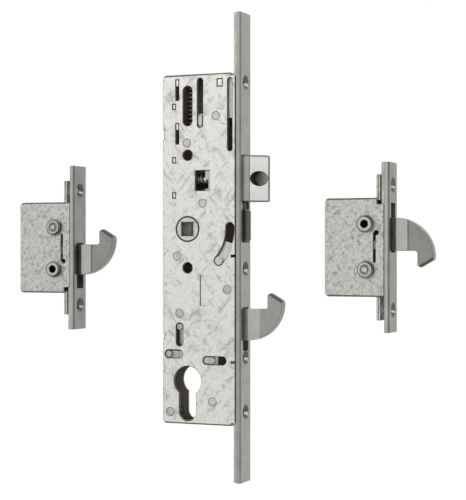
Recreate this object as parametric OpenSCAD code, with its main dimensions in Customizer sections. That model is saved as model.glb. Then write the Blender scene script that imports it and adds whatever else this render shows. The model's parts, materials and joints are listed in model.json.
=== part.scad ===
// Multipoint door lock: a gearbox case with latch and hook, and two hook cases,
// each on its own length of faceplate.
// X points out of the door edge, Z is up and Y runs through the door's thickness.
// The origin is the centre of the spindle follower.

/* [Gearbox case] */
// Depth of the gearbox case behind its faceplate
case_depth = 48.5; // [46:0.5:56]
// Height of the gearbox case above the spindle
case_top = 93.5; // [92:0.5:110]
// Drop of the gearbox case below the spindle
case_drop = 118; // [117.5:0.5:130]
// Thickness of all cases, through the door
case_t = 15; // [14.5:0.5:18]
// Thickness of the case sheet
wall = 1.5; // [1.2:0.1:1.6]
// Corner radius at the back of the cases
case_corner = 2.5; // [1:0.5:4]
// Diameter of the flush rivets that join the case halves
rivet_d = 5; // [4:0.25:5.5]

/* [Faceplates] */
// Width of the faceplates
plate_w = 16; // [15.5:0.5:20]
// Thickness of the faceplates
plate_t = 3; // [2.5:0.25:3.5]
// Reach of the gearbox faceplate above the spindle
plate_top = 129.5; // [115:0.5:180]
// Reach of the gearbox faceplate below the spindle
plate_drop = 152; // [135:0.5:200]
// Chamfer along the front edges of the faceplates
plate_chamfer = 0.6; // [0.2:0.1:1]
// Diameter of the fixing screw holes
screw_d = 4.5; // [4:0.25:5]
// Diameter of the countersinks of the fixing screw holes
screw_head_d = 8.6; // [7:0.2:9]

/* [Spindle and cylinder] */
// Distance from the faceplate's front to the spindle
backset = 35; // [35:0.5:40]
// Side of the square spindle hole
spindle_side = 8; // [7:0.5:9]
// Diameter of the follower's collars in the case walls
collar_d = 14.6; // [13.5:0.1:15]
// Distance from the spindle down to the cylinder
centres = 92; // [90:0.5:94]
// Diameter of the round part of the cylinder hole
cylinder_d = 18; // [17.5:0.1:18.5]
// Width of the foot of the cylinder hole
cylinder_foot_w = 11; // [10.5:0.1:12]
// Whole height of the cylinder hole
cylinder_h = 33; // [32.5:0.1:33.2]
// Diameter of the through holes for the handle's bolts
bolt_d = 6.4; // [5.5:0.1:7]
// Handle bolt hole above the spindle
bolt_up = 44.7; // [44:0.1:46]
// Handle bolt hole below the spindle
bolt_down = 23.5; // [22.5:0.1:25]
// Turn of the spindle that draws all hooks in, in degrees
spindle_turn = 45; // [40:1:50]

/* [Latch and trigger] */
// Height of the latch bolt
latch_h = 28; // [24:0.5:28.5]
// Thickness of the latch bolt's head
latch_t = 10; // [9:0.25:10.5]
// Foot of the latch bolt above the spindle
latch_foot = 16; // [15.5:0.1:18]
// Reach of the latch bolt out of the faceplate
latch_out = 13.75; // [10:0.25:14]
// Length of the latch bolt's slanted face
latch_bevel = 9.25; // [9:0.25:9.5]
// Thickness of the latch bolt at its tip
latch_tip = 2; // [1.5:0.25:3]
// Diameter of the handing screw in the latch's slanted face
latch_screw_d = 8.4; // [7:0.2:8.6]
// Height of the sprung trigger below the latch
trigger_h = 20; // [18:0.5:21]
// Thickness of the trigger
trigger_t = 7.6; // [7:0.2:7.6]
// Reach of the trigger out of the faceplate
trigger_out = 2; // [1:0.25:2.5]

/* [Hooks] */
// Thickness of a hook at its root
hook_t = 7; // [6:0.25:7]
// Step in from the root to the beak on each side of a hook
hook_step = 0.4; // [0.2:0.1:0.8]
// Length of the thicker root outside the faceplate
hook_root = 7; // [4:0.5:9]
// Reach of a hook out of the faceplate
hook_out = 24.5; // [24:0.5:27]
// Height of a hook where it leaves the faceplate
hook_h = 19; // [17.5:0.5:19.5]
// Distance from the faceplate to the inner side of the beak
beak_gap = 15.2; // [14:0.2:16.5]
// Rise of the beak above the hook's upper edge
beak_rise = 9.5; // [8:0.5:10.5]
// Swing of a hook from thrown to drawn in, in degrees
hook_swing = 69; // [67:1:70]
// Travel of the drive slides
travel = 9.5; // [9:0.25:10]
// Top of the gearbox's hook below the spindle
hook_drop = 47.9; // [47:0.1:49]

/* [Hook cases] */
// Height of a hook case
unit_h = 57; // [56:0.5:64]
// Depth of a hook case behind its faceplate
unit_depth = 36; // [35.5:0.5:42]
// Length of the upper hook unit's faceplate
upper_plate_len = 102.5; // [100:0.5:140]
// Length of the lower hook unit's faceplate
lower_plate_len = 98; // [98:0.5:140]
// Distance between the two screw holes of a hook unit
unit_screws = 72; // [71:0.5:76]
// Length of a hook case's mounting feet
foot_len = 13.5; // [12:0.5:18]
// Thickness of the mounting feet
foot_t = 2.6; // [1.5:0.1:3]
// Diameter of the two bosses on a hook case
boss_d = 10; // [8:0.5:11]
// Height of the bosses on a hook case
boss_h = 2.6; // [1.5:0.1:4]
// Front of the upper hook unit, from the spindle
upper_x = -78; // [-95:1:-76]
// Front of the lower hook unit, from the spindle
lower_x = 127; // [125:1:150]
// Height of the middle of both hook units, from the spindle
unit_z = -11.2; // [-30:0.1:10]

/* [Springs] */
// Wire diameter of the coil springs
wire_d = 0.9; // [0.7:0.1:1]
// Outer diameter of the latch spring
latch_spring_d = 8; // [7.5:0.1:8.5]
// Turns of the latch spring
latch_spring_turns = 11; // [8:1:12]
// Outer diameter of the handle return spring
handle_spring_d = 5.4; // [4.6:0.1:5.6]
// Turns of the handle return spring
handle_spring_turns = 12; // [10:1:13]
// Outer diameter of the trigger spring
trigger_spring_d = 5; // [4.5:0.1:5.5]
// Turns of the trigger spring
trigger_spring_turns = 4; // [3:1:5]

/* [Hidden] */
$fn = 48;

// Running gaps
pivot_gap = 0.05;
slide_gap = 0.3;
slot_gap = 0.35;
window_gap = 0.6;
overcut = 1;

// Layers through the thickness: walls outside, drive slides next, hooks in the middle
half_t = case_t / 2;
inner_y = half_t - wall;
slide_t = 1.7;
slide_out_y = inner_y - 0.2;
slide_in_y = slide_out_y - slide_t;
hook_y = hook_t / 2;

// Gearbox case
front_x = backset;
back_x = front_x - plate_t;
rear_x = back_x - case_depth;
rear_in_x = rear_x + wall;

// Rails behind the faceplates
rail_t = 2;
rail_front = slide_gap;
rail_deep = rail_front + rail_t;
rail_space = rail_deep + slide_gap;
rail_w = 2 * slide_out_y;

// Follower: one drive pin on each side of its flange, and a stud in the curved slot
pin_d = 3.5;
follower_pin_r = travel / 2 / sin(spindle_turn / 2);
flange_r = follower_pin_r + pin_d / 2;
flange_y = 3;
// The follower's collar stands out of the tray
collar_out = 2.5;
stud_d = 5;
stud_r = 28;
stud_rest = 43;
stud_arm_w = 6;
// Curved plate of the follower behind the slot, from the stud to this angle
shield_end = 17;
shield_w = 5.2;
stud_sink = 0.2;
// Height of a fork beside its pin, and the pad round a hook's drive pin
fork_half = 4.5;
fork_lip = 2.6;
pin_pad = 4;
pin_short = 0.5;

// Hooks: pivot above and behind the root, drive pin behind the pivot
axle_d = 5;
hub_d = 9;
drive_pin_d = 4;
drive_pin_arm = travel / 2 / tan(hook_swing / 2);
drive_pin_far = drive_pin_arm / cos(hook_swing / 2);
tail_wall = 2;
tail_d = drive_pin_d + 2 * slot_gap + 2 * tail_wall;
box_pivot_in = 9;
box_pivot_up = 11.5;
unit_pivot_in = 12;
unit_pivot_up = 12;
unit_hook_z = 2;
hook_slot_over = 0.8;
hook_fillet = 1;
// Root of a hook behind the faceplate's front, its cut corner and the neck's width
root_back = 4;
root_in = plate_t + root_back;
root_heel = 1;
root_cut = 6;
root_step = 1.5;
neck_front = plate_t + 1.4;
neck_foot = 1;
neck_in = 0.2;
// Flat top of the beak, its nick and the fall of its outer edge
beak_flat = 1.6;
beak_nick = 1.2;
beak_fall = 4.5;
hook_heel_x = 2;

// The outer edge of a hook is an arc through its tip, level at its heel
hook_tip = [hook_out, beak_rise - beak_fall];
hook_heel = [hook_heel_x, -hook_h];
hook_arc_r = (pow(hook_tip[0] - hook_heel[0], 2) + pow(hook_tip[1] - hook_heel[1], 2))
  / 2 / (hook_tip[1] - hook_heel[1]);
hook_arc_mid = hook_heel + [0, hook_arc_r];
// Foot of the faceplate slot below a hook's upper edge: the furthest that the hook sweeps
function hook_sweep(pivot_in, pivot_up) =
  norm(hook_arc_mid - [-pivot_in, pivot_up]) + hook_arc_r - pivot_up + window_gap;

box_pivot_x = front_x - box_pivot_in;
box_pivot_z = -hook_drop + box_pivot_up;
unit_pivot_z = unit_hook_z + unit_pivot_up;

// Screw holes of the gearbox faceplate, from the spindle
box_screw_z = [88, -24, -77.3, -110];

// Strap of the lower drive slide along the rear wall
rear_strap_w = 4.5;
rear_strap_x = [rear_in_x + slide_gap, rear_in_x + slide_gap + rear_strap_w];
rivet_room = 0.6;

// Rivets of the gearbox case: x and z from the spindle
box_rivets = [[18.6, 68], [-0.5, 52], [rear_strap_x[1] + rivet_room + rivet_d / 2, -16.5], [-5.3, -51.2],
  [rear_in_x + 3.4, -111], [16.4, -104]];
// A rivet that joins only the cover to a bracket
cover_rivet = [9.9, 15.5];
// Guide tabs that show through the cover: x, z and height
outer_tab_x = rear_in_x + 6;
inner_tab_x = rear_in_x + 8.1;
guide_tabs_at = [[outer_tab_x, 74.2, 3.3], [outer_tab_x, 41.8, 3.3], [outer_tab_x, 20.4, 3.3],
  [inner_tab_x, 88.5, 4.2], [inner_tab_x, 62, 4.2]];
guide_tab_w = 2;
// A wider tab that ends in the cover
cover_tab = [21.2, 87.8];
cover_tab_size = [3.4, 4.5];
// Recesses in the cover's rear edge, from z to z, and their depth
rear_recess = [[54.6, 60.4], [-66.5, -63.5], [-85.5, -84]];
rear_recess_in = 1;
// Notches in the cover's front edge and its corners, from z up
front_notch_size = [3.7, 1.8];
front_notch = [-17.2, -80.8, -case_drop, case_top - front_notch_size[1]];
// Gap between the covers and the faceplates, wider on the gearbox
cover_gap = 0.5;
box_cover_gap = 1.1;
// Pressed pad of the cover: its slit, its height and its run
pad_x = 9.2;
pad_z = [-46, -28.5];
pad_h = 0.8;
pad_run = 8;
pad_slit = 0.7;
// Narrow slots under the two upper guide tabs
tab_slot_len = 12.5;

// Openings of the cover that show the slides and springs
spring_slot = [6, 24];
spring_slot_z = 74.5;
spring_slot_run = spring_slot[1] - spring_slot[0];
stud_slot_x = 8.3;
stud_slot_w = 3.6;
stud_slot = [61, 91];
long_slot_x = 27.8;
long_slot_w = 3;
long_slot = [46.6, 90.5];
window_x = 9.7;
window_z = 29.2;
window_size = [9.2, 12];
low_slot_x = -5.3;
low_slot_w = 4.6;
low_pin_d = 4;
low_pin_z = -59.2;
deadlock_travel = 7;
deadlock_left = [rear_in_x + 2.4, -75.8];
deadlock_right = [14.3, -79.2];
deadlock_stud_d = 4.2;
deadlock_oval = 7.4;

// Upper drive slide, from the spindle
lug_z = [74, 81.5];
spring_tab_z = 57;
spring_tab_t = 2;
upper_rail_foot = 66;
upper_stud_z = [63.5, 67.2];
strap_x = [11, 15.5];
strap_notch = [24.2, 29.8];
strap_neck = 2.4;
head_top = 69.5;
// Plate of the upper slide behind the long slot; it passes out through the top of the case
rail_plate_x = 24.8;
rail_plate_z = [66.5, 91.5];
leg_x = [8, 12.8];
stud_pad = 3;
// Lower drive slide, from the spindle
lower_rail_head = -82;
cross_half = 3.5;
drop_x = 22;
drop_lap = 10;
fork_open = 4;
// Bar of the deadlock slide, and the pad round its right stud
deadlock_bar_z = [-79, -74];
deadlock_pad = [5, 2.6];
deadlock_end = 1.9;

// Latch and trigger
latch_mid = latch_foot + latch_h / 2;
latch_tail_h = 15;
latch_tail_t = 7;
latch_tail_x = 18;
latch_rod_d = 5;
latch_rod_x = -1.5;
latch_seat = 0.3;
handle_spring_y = -1;
latch_stop = 1.2;
// Handing screw: seat in front of the latch's far face, head, shank and cross recess
latch_screw_at = [front_x + latch_out - latch_bevel / 2, latch_mid];
latch_screw_seat = 1.1;
latch_screw_h = 1.1;
latch_shank_d = 4;
latch_cross_w = 1.4;
latch_cross_h = 0.7;
slot_w = latch_t + 2 * slide_gap;
trigger_drop = 4;
trigger_top = latch_foot - trigger_drop;
trigger_foot = trigger_top - trigger_h;
// Tongue of the trigger over the follower's stud, its play under the latch and behind the front
trigger_tongue = 5;
tongue_play = 0.5;
// Hold of the trigger's block in the faceplate's slot
trigger_hold = 1.5;
trigger_flange_t = 2;
trigger_spring_z = 10;
trigger_seat_x = 20;
trigger_seat_half = 4;
trigger_edge = 2;

// Hook units: front of the faceplate at x = 0, middle of the case at z = 0
unit_rear = -plate_t - unit_depth;
unit_back = -plate_t;
bush_bore = 4.4;
bush_step = 2;
bush_neck_d = boss_d - 2 * bush_step;
unit_bush = [-14.3, -13.5];
// Middle of the axle's head, to one side of the axle
unit_head = [-14, 12.8];
boss_rim = 0.6;
boss_top_d = boss_d - 1.4;
slit_x = -9;
slit = [-8.5, 8.5];
slit_w = 1.3;
slit_eye_d = 2.6;
slit_eye_x = 1.2;
unit_rail_top = 15;
neck_room = 5.5;
unit_open_top = unit_hook_z + neck_room;
rail_lip = 0.8;
// Bend relief in the cover's corner beside a foot
relief = [4.5, 3.6];
arm_under = [13.2, 8.2];
arm_side = 3.6;

// Shapes along the thickness

// A flat outline in x and z, from y0 to y1
module slab(y0, y1) {
  translate([0, y1, 0]) rotate([90, 0, 0]) linear_extrude(y1 - y0) children();
}

// A round bar along the thickness
module bar(at, d, y0, y1) {
  slab(y0, y1) translate(at) circle(d = d);
}

// A slot outline with round ends between two points
module oblong(a, b, d) {
  run = norm(b - a);
  translate(a) circle(d = d);
  translate(b) circle(d = d);
  translate(a) rotate(atan2(b[1] - a[1], b[0] - a[0])) translate([0, -d / 2]) square([max(run, 0.01), d]);
}

// A rectangle given by its corners
module rect(x0, z0, x1, z1) {
  translate([x0, z0]) square([x1 - x0, z1 - z0]);
}

// A rectangle with both left corners rounded
module left_rounded(x0, z0, x1, z1, r) {
  rect(x0 + r, z0, x1, z1);
  rect(x0, z0 + r, x1, z1 - r);
  translate([x0 + r, z0 + r]) circle(r = r);
  translate([x0 + r, z1 - r]) circle(r = r);
}

// A coil spring along +Z from 0 to h: one tube of six sides along a helix, eight rings to a turn
module coil(d, h, turns, wire) {
  sides = 6;
  rings = 8;
  steps = turns * rings;
  r = (d - wire) / 2;
  rise = h - wire;
  pts = [for (i = [0:steps]) let (a = 360 * i / rings, z = wire / 2 + rise * i / steps)
    for (k = [0:sides - 1]) let (b = 360 * k / sides, q = r + wire / 2 * cos(b))
      [q * cos(a), q * sin(a), z + wire / 2 * sin(b)]];
  skin = [for (i = [0:steps - 1]) for (k = [0:sides - 1]) for (tri = [0, 1])
    let (n = (k + 1) % sides, p = i * sides, q = p + sides)
      tri == 0 ? [p + k, q + k, q + n] : [p + k, q + n, p + n]];
  first = [for (k = [1:sides - 2]) [0, k, k + 1]];
  last = [for (k = [1:sides - 2]) [steps * sides, steps * sides + k + 1, steps * sides + k]];
  next_turn = [for (i = [rings - 1:rings + 1]) for (k = [0:sides - 1]) pts[i * sides + k]];
  gap = min([for (k = [0:sides - 1]) for (point = next_turn) norm(point - pts[k])]);
  echo(str("least gap of this spring to itself: ", gap, " mm"));
  polyhedron(points = pts, faces = concat(skin, first, last));
}

// A faceplate from z0 to z1 with its front at x = 0
module plate_blank(z0, z1) {
  w = plate_w / 2;
  c = plate_chamfer;
  translate([0, 0, z0]) linear_extrude(z1 - z0)
    polygon([[-plate_t, -w], [-c, -w], [0, -w + c], [0, w - c], [-c, w], [-plate_t, w]]);
}

// A countersunk screw hole through a faceplate with its front at x = 0
module screw_hole(z) {
  depth = (screw_head_d - screw_d) / 2;
  translate([-plate_t - overcut, 0, z]) rotate([0, 90, 0]) cylinder(d = screw_d, h = plate_t + 2 * overcut);
  translate([-depth, 0, z]) rotate([0, 90, 0])
    cylinder(d1 = screw_d, d2 = screw_head_d, h = depth);
}

// An upright slot through a faceplate with its front at x = 0
module plate_slot(z0, z1, w) {
  translate([-plate_t - overcut, -w / 2, z0]) cube([plate_t + 2 * overcut, w, z1 - z0]);
}

// A hook: u = 0 at the faceplate's front, v = 0 at the hook's upper edge
module hook_outline(pivot_in, pivot_up) {
  pivot = [-pivot_in, pivot_up];
  tip_turn = atan2(hook_tip[1] - hook_arc_mid[1], hook_tip[0] - hook_arc_mid[0]);
  arc_steps = 16;
  polygon(concat(
    [[-root_in, -root_step], [-root_in, -hook_h + root_cut], [-root_heel, -hook_h]],
    [for (i = [0:arc_steps]) let (a = -90 + (tip_turn + 90) * i / arc_steps)
      hook_arc_mid + hook_arc_r * [cos(a), sin(a)]],
    [[beak_gap + beak_flat, beak_rise], [beak_gap, beak_rise - beak_nick], [beak_gap, hook_fillet],
      [beak_gap - hook_fillet, 0], [-plate_t + neck_foot, 0]]));
  // Neck from the root up to the hub
  polygon([pivot + [-hub_d / 2 + neck_in, 0], [-root_in, -hook_h + root_cut + neck_foot],
    [-neck_front, -hook_h + root_cut + neck_foot], [-neck_front, -neck_foot],
    pivot + [hub_d / 2 - neck_in, 0]]);
  translate(pivot) circle(d = hub_d);
  translate(pivot) rotate(180 + hook_swing / 2) oblong([0, 0], [drive_pin_far, 0], tail_d);
}

// The parts of a hook outline that stay free: axle bore and drive slot
module hook_holes(pivot_in, pivot_up) {
  translate([-pivot_in, pivot_up]) {
    circle(d = axle_d + 2 * pivot_gap);
    rotate(180 + hook_swing / 2)
      oblong([drive_pin_arm, 0], [drive_pin_far, 0], drive_pin_d + 2 * slot_gap);
  }
}

// A whole hook, thinner past its root
module hook(pivot_in, pivot_up) {
  difference() {
    slab(-hook_y, hook_y) difference() {
      hook_outline(pivot_in, pivot_up);
      hook_holes(pivot_in, pivot_up);
    }
    for (side = [-1, 1])
      translate([hook_root, side > 0 ? hook_y - hook_step : -hook_y - overcut, -hook_h - overcut])
        cube([hook_out, hook_step + overcut, hook_h + beak_rise + 2 * overcut]);
  }
}

// Gearbox case

module cylinder_hole() {
  translate([0, -centres]) circle(d = cylinder_d);
  foot_z = -centres + cylinder_d / 2 - cylinder_h + cylinder_foot_w / 2;
  oblong([0, -centres], [0, foot_z], cylinder_foot_w);
}

module bolt_holes() {
  translate([0, bolt_up]) circle(d = bolt_d);
  translate([0, -bolt_down]) circle(d = bolt_d);
}

module box_outline() {
  left_rounded(rear_x, -case_drop, back_x, case_top, case_corner);
}

module main_faceplate() {
  color("darkgray") translate([front_x, 0, 0]) difference() {
    plate_blank(-plate_drop, plate_top);
    for (z = box_screw_z) screw_hole(z);
    plate_slot(trigger_foot - slide_gap, latch_foot + latch_h + slide_gap, slot_w);
    plate_slot(-hook_drop - hook_sweep(box_pivot_in, box_pivot_up), -hook_drop + hook_slot_over,
      hook_t + 2 * window_gap);
  }
}

module main_case_tray() {
  color("gainsboro") {
    difference() {
      slab(-inner_y, half_t) box_outline();
      slab(-inner_y - overcut, inner_y)
        rect(rear_in_x, -case_drop + wall, back_x + overcut, case_top - wall);
      slab(-inner_y - overcut, half_t + overcut) {
        cylinder_hole();
        bolt_holes();
        circle(d = collar_d + 2 * pivot_gap);
      }
      // The rails pass through the top and bottom walls behind the faceplate
      slab(-inner_y - overcut, inner_y)
        rect(back_x - rail_space, -case_drop - overcut, back_x + overcut, case_top + overcut);
      slab(-inner_y - overcut, -slide_in_y + slot_gap)
        rect(rail_plate_x - slot_gap, case_top - wall - overcut, back_x + overcut, case_top + overcut);
      main_rivet_holes(inner_y - overcut, half_t + overcut);
    }
    // Seat of the trigger spring
    slab(-flange_y, inner_y) rect(trigger_seat_x - wall, trigger_spring_z - trigger_seat_half,
      trigger_seat_x, trigger_spring_z + trigger_seat_half);
  }
}

module main_rivet_holes(y0, y1) {
  for (at = box_rivets) bar(at, rivet_d, y0, y1);
  bar([box_pivot_x, box_pivot_z], axle_d, y0, y1);
}

// A ring piece round the spindle on the stud's circle, from one angle to another
module stud_arc(from, to, w) {
  wedge = 6;
  intersection() {
    difference() {
      circle(r = stud_r + w / 2);
      circle(r = stud_r - w / 2);
    }
    polygon(concat([[0, 0]],
      [for (i = [0:wedge]) let (a = from + (to - from) * i / wedge) 2 * stud_r * [cos(a), sin(a)]]));
  }
}

// Curved slot round the spindle for the follower's stud
module stud_slot_outline(d) {
  stud_arc(-stud_rest, spindle_turn - stud_rest, d);
  for (a = [0, spindle_turn]) translate(stud_r * [cos(a - stud_rest), sin(a - stud_rest)]) circle(d = d);
}

module main_case_cover() {
  color("gainsboro") difference() {
    slab(-half_t, -inner_y) difference() {
      box_outline();
      rect(back_x - box_cover_gap, -case_drop - overcut, back_x + overcut, case_top + overcut);
      for (z = front_notch) rect(back_x - front_notch_size[0], z, back_x, z + front_notch_size[1]);
      for (z = rear_recess) rect(rear_x - overcut, z[0], rear_x + rear_recess_in, z[1]);
      rect(pad_x - pad_slit, pad_z[0], pad_x, pad_z[1]);
      translate(cover_tab) square(cover_tab_size, center = true);
      cylinder_hole();
      bolt_holes();
      circle(d = collar_d + 2 * slide_gap);
      stud_slot_outline(stud_d + 2 * slot_gap);
      oblong([0, spring_slot_z - spring_slot_run / 2], [0, spring_slot_z + spring_slot_run / 2],
        spring_slot[0]);
      oblong([stud_slot_x, stud_slot[0] + stud_slot_w / 2], [stud_slot_x, stud_slot[1] - stud_slot_w / 2],
        stud_slot_w);
      oblong([long_slot_x, long_slot[0] + long_slot_w / 2], [long_slot_x, long_slot[1] - long_slot_w / 2],
        long_slot_w);
      translate([window_x, window_z]) square(window_size, center = true);
      oblong([low_slot_x, low_pin_z], [low_slot_x, low_pin_z - travel], low_slot_w);
      oblong(deadlock_left, deadlock_left + [deadlock_travel, 0], deadlock_stud_d + 2 * slot_gap);
      oblong(deadlock_right - [(deadlock_oval - deadlock_stud_d) / 2, 0],
        deadlock_right + [(deadlock_oval - deadlock_stud_d) / 2 + deadlock_travel, 0],
        deadlock_stud_d + 2 * slot_gap);
      for (t = guide_tabs_at)
        translate([t[0], t[1]]) square([guide_tab_w, t[2]], center = true);
      for (i = [3, 4]) let (t = guide_tabs_at[i])
        rect(t[0] - guide_tab_w / 2, t[1] - t[2] / 2 - tab_slot_len + t[2], t[0] + guide_tab_w / 2, t[1]);
    }
    main_rivet_holes(-half_t - overcut, -inner_y + overcut);
    bar(cover_rivet, rivet_d, -half_t - overcut, -inner_y + overcut);
  }
  // Pressed pad, highest at its slit
  color("gainsboro") translate([0, 0, pad_z[0]]) linear_extrude(pad_z[1] - pad_z[0])
    polygon([[pad_x, -half_t], [pad_x, -half_t - pad_h], [pad_x + pad_run, -half_t]]);
}

module case_rivets() {
  color("silver") {
    for (at = box_rivets) bar(at, rivet_d, -half_t, half_t);
    bar(cover_rivet, rivet_d, -half_t, -inner_y);
  }
}

module guide_tabs() {
  color("gainsboro") {
    for (t = guide_tabs_at)
      slab(-half_t + stud_sink, inner_y) translate([t[0], t[1]]) square([guide_tab_w, t[2]], center = true);
    slab(-half_t + stud_sink, -inner_y) translate(cover_tab) square(cover_tab_size, center = true);
  }
}

// Moving pieces of the gearbox

module follower() {
  turn = spindle_turn / 2;
  front_pin = follower_pin_r * [cos(turn), -sin(turn)];
  back_pin = follower_pin_r * [-cos(turn), sin(turn)];
  stud_at = stud_r * [cos(stud_rest), -sin(stud_rest)];
  color("slategray") difference() {
    union() {
      bar([0, 0], collar_d, -half_t, half_t + collar_out);
      bar([0, 0], 2 * flange_r, -flange_y, flange_y);
      bar(front_pin, pin_d, -slide_out_y, 0);
      bar(back_pin, pin_d, 0, slide_out_y);
      slab(-flange_y, 0) oblong([0, 0], stud_at, stud_arm_w);
      bar(stud_at, stud_d, -half_t + stud_sink, 0);
      slab(-slide_out_y, -slide_in_y) stud_arc(-stud_rest, -shield_end, shield_w);
    }
    slab(-half_t - overcut, half_t + collar_out + overcut) square(spindle_side, center = true);
  }
}

module upper_drive() {
  pin_x = follower_pin_r * cos(spindle_turn / 2);
  pin_z = -follower_pin_r * sin(spindle_turn / 2);
  hook_pin = [box_pivot_x - drive_pin_arm, box_pivot_z - travel / 2];
  color("lightgray") {
    slab(-slide_out_y, -slide_in_y) difference() {
      union() {
        // Upright strap past the follower, and the head that carries the stud
        rect(strap_x[0], pin_z, strap_x[1], lug_z[1]);
        rect(stud_slot_x - stud_pad, spring_tab_z, strap_x[1], head_top);
        // Fork at the follower's pin
        rect(pin_x - fork_lip, pin_z - fork_half, strap_x[1], pin_z + fork_half);
        // Leg down to the hook's drive pin, clear of the follower's stud
        rect(leg_x[0], hook_pin[1] - pin_pad, leg_x[1], pin_z);
        rect(leg_x[0], hook_pin[1] - pin_pad, hook_pin[0] + pin_pad, hook_pin[1] + pin_pad);
        // Lug to the rail
        rect(strap_x[0], lug_z[0], back_x - rail_front, lug_z[1]);
        rect(rail_plate_x, rail_plate_z[0], back_x - rail_front, rail_plate_z[1]);
      }
      oblong([pin_x, pin_z], [follower_pin_r, pin_z], pin_d + 2 * slot_gap);
      // Notch that shows in the cover's window
      rect(strap_x[0] - overcut, strap_notch[0], strap_x[1] - strap_neck, strap_notch[1]);
    }
    bar(hook_pin, drive_pin_d, -slide_out_y, hook_y - pin_short);
    slab(-half_t + stud_sink, -slide_in_y)
      oblong([stud_slot_x, upper_stud_z[0]], [stud_slot_x, upper_stud_z[1]], stud_slot_w - 2 * slot_gap);
    // Tab under the return spring
    translate([-spring_slot[0] / 2, -slide_out_y, spring_tab_z])
      cube([stud_slot_x + spring_slot[0] / 2, slide_out_y + flange_y, spring_tab_t]);
    // Rail behind the faceplate
    difference() {
      translate([back_x - rail_deep, -slide_out_y, upper_rail_foot])
        cube([rail_t, rail_w, plate_top - upper_rail_foot]);
      rail_screw_slot(box_screw_z[0], -travel, 0);
    }
  }
}

// Slot in a gearbox rail that a fixing screw stays clear of
module rail_screw_slot(z, reach_down, reach_up) {
  w = screw_d + 2 * slot_gap;
  translate([back_x - rail_deep - overcut, -w / 2, z - w / 2 + reach_down])
    cube([rail_t + 2 * overcut, w, w + reach_up - reach_down]);
}

module lower_drive() {
  pin_x = follower_pin_r * cos(spindle_turn / 2);
  pin_z = follower_pin_r * sin(spindle_turn / 2);
  cross_z = [low_pin_z - cross_half, low_pin_z + cross_half];
  color("lightgray") {
    slab(slide_in_y, slide_out_y) difference() {
      union() {
        rect(rear_strap_x[0], cross_z[0], rear_strap_x[1], pin_z + fork_half);
        rect(rear_strap_x[0], pin_z - fork_half, -collar_d / 2 - slide_gap, pin_z + fork_half);
        rect(rear_strap_x[0], cross_z[0], back_x - rail_front, cross_z[1]);
        rect(drop_x, lower_rail_head - drop_lap, back_x - rail_front, cross_z[1]);
      }
      // Fork, open to the rear
      oblong([-pin_x, pin_z], [-follower_pin_r - fork_open, pin_z], pin_d + 2 * slot_gap);
    }
    bar([low_slot_x, low_pin_z], low_pin_d, -half_t + stud_sink, slide_in_y + slide_t / 2);
    // Block behind the cover's slot, further in than the deadlock slide
    slab(-slide_in_y + slide_gap, slide_in_y)
      oblong([low_slot_x, low_pin_z], [low_slot_x, low_pin_z - travel], low_pin_d);
    difference() {
      translate([back_x - rail_deep, -slide_out_y, -plate_drop])
        cube([rail_t, rail_w, plate_drop + lower_rail_head]);
      rail_screw_slot(box_screw_z[3], 0, travel);
    }
  }
}

module deadlock_slide() {
  oval = (deadlock_oval - deadlock_stud_d) / 2;
  color("lightgray") {
    slab(-slide_out_y, -slide_in_y) {
      rect(deadlock_left[0] - deadlock_end, deadlock_bar_z[0], deadlock_right[0] + deadlock_pad[0],
        deadlock_bar_z[1]);
      rect(deadlock_right[0] - deadlock_pad[0], deadlock_right[1] - deadlock_pad[1],
        deadlock_right[0] + deadlock_pad[0], deadlock_bar_z[1]);
    }
    bar(deadlock_left, deadlock_stud_d, -half_t + stud_sink, -slide_in_y);
    slab(-half_t + stud_sink, -slide_in_y)
      oblong(deadlock_right - [oval, 0], deadlock_right + [oval, 0], deadlock_stud_d);
  }
}

module latch_bolt() {
  x0 = back_x - latch_stop;
  tip_x = front_x + latch_out;
  bevel_x = tip_x - latch_bevel;
  h = latch_t / 2;
  color("lightgray") {
    difference() {
      translate([0, 0, latch_foot]) linear_extrude(latch_h)
        polygon([[x0, -h], [bevel_x, -h], [tip_x, h - latch_tip], [tip_x, h], [x0, h]]);
      latch_screw_place(pivot_gap, -h - overcut, h + overcut);
    }
    translate([latch_tail_x, -latch_tail_t / 2, latch_mid - latch_tail_h / 2])
      cube([x0 - latch_tail_x, latch_tail_t, latch_tail_h]);
    translate([latch_rod_x, 0, latch_mid]) rotate([0, 90, 0])
      cylinder(d = latch_rod_d, h = latch_tail_x - latch_rod_x);
  }
}

// Handing screw in the middle of the slanted face: head from y0 to its seat, shank from there to y1
module latch_screw_place(gap, y0, y1) {
  seat_y = latch_t / 2 - latch_screw_seat;
  bar(latch_screw_at, latch_screw_d + 2 * gap, y0, seat_y);
  bar(latch_screw_at, latch_shank_d + 2 * gap, seat_y - latch_screw_h / 2, y1);
}

module latch_screw() {
  head_y = latch_t / 2 - latch_screw_seat - latch_screw_h;
  color("dimgray") difference() {
    latch_screw_place(0, head_y, latch_t / 2);
    slab(head_y - overcut, head_y + latch_cross_h) translate(latch_screw_at) {
      square([latch_screw_d - 2 * latch_cross_w, latch_cross_w], center = true);
      square([latch_cross_w, latch_screw_d - 2 * latch_cross_w], center = true);
    }
  }
}

module latch_spring() {
  color("silver") translate([rear_in_x + latch_seat, 0, latch_mid]) rotate([0, 90, 0])
    coil(latch_spring_d, latch_tail_x - rear_in_x - 2 * latch_seat, latch_spring_turns, wire_d);
}

module handle_spring() {
  z0 = spring_tab_z + spring_tab_t + latch_seat;
  color("silver") translate([0, handle_spring_y, z0])
    coil(handle_spring_d, case_top - wall - latch_seat - z0, handle_spring_turns, wire_d);
}

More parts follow.
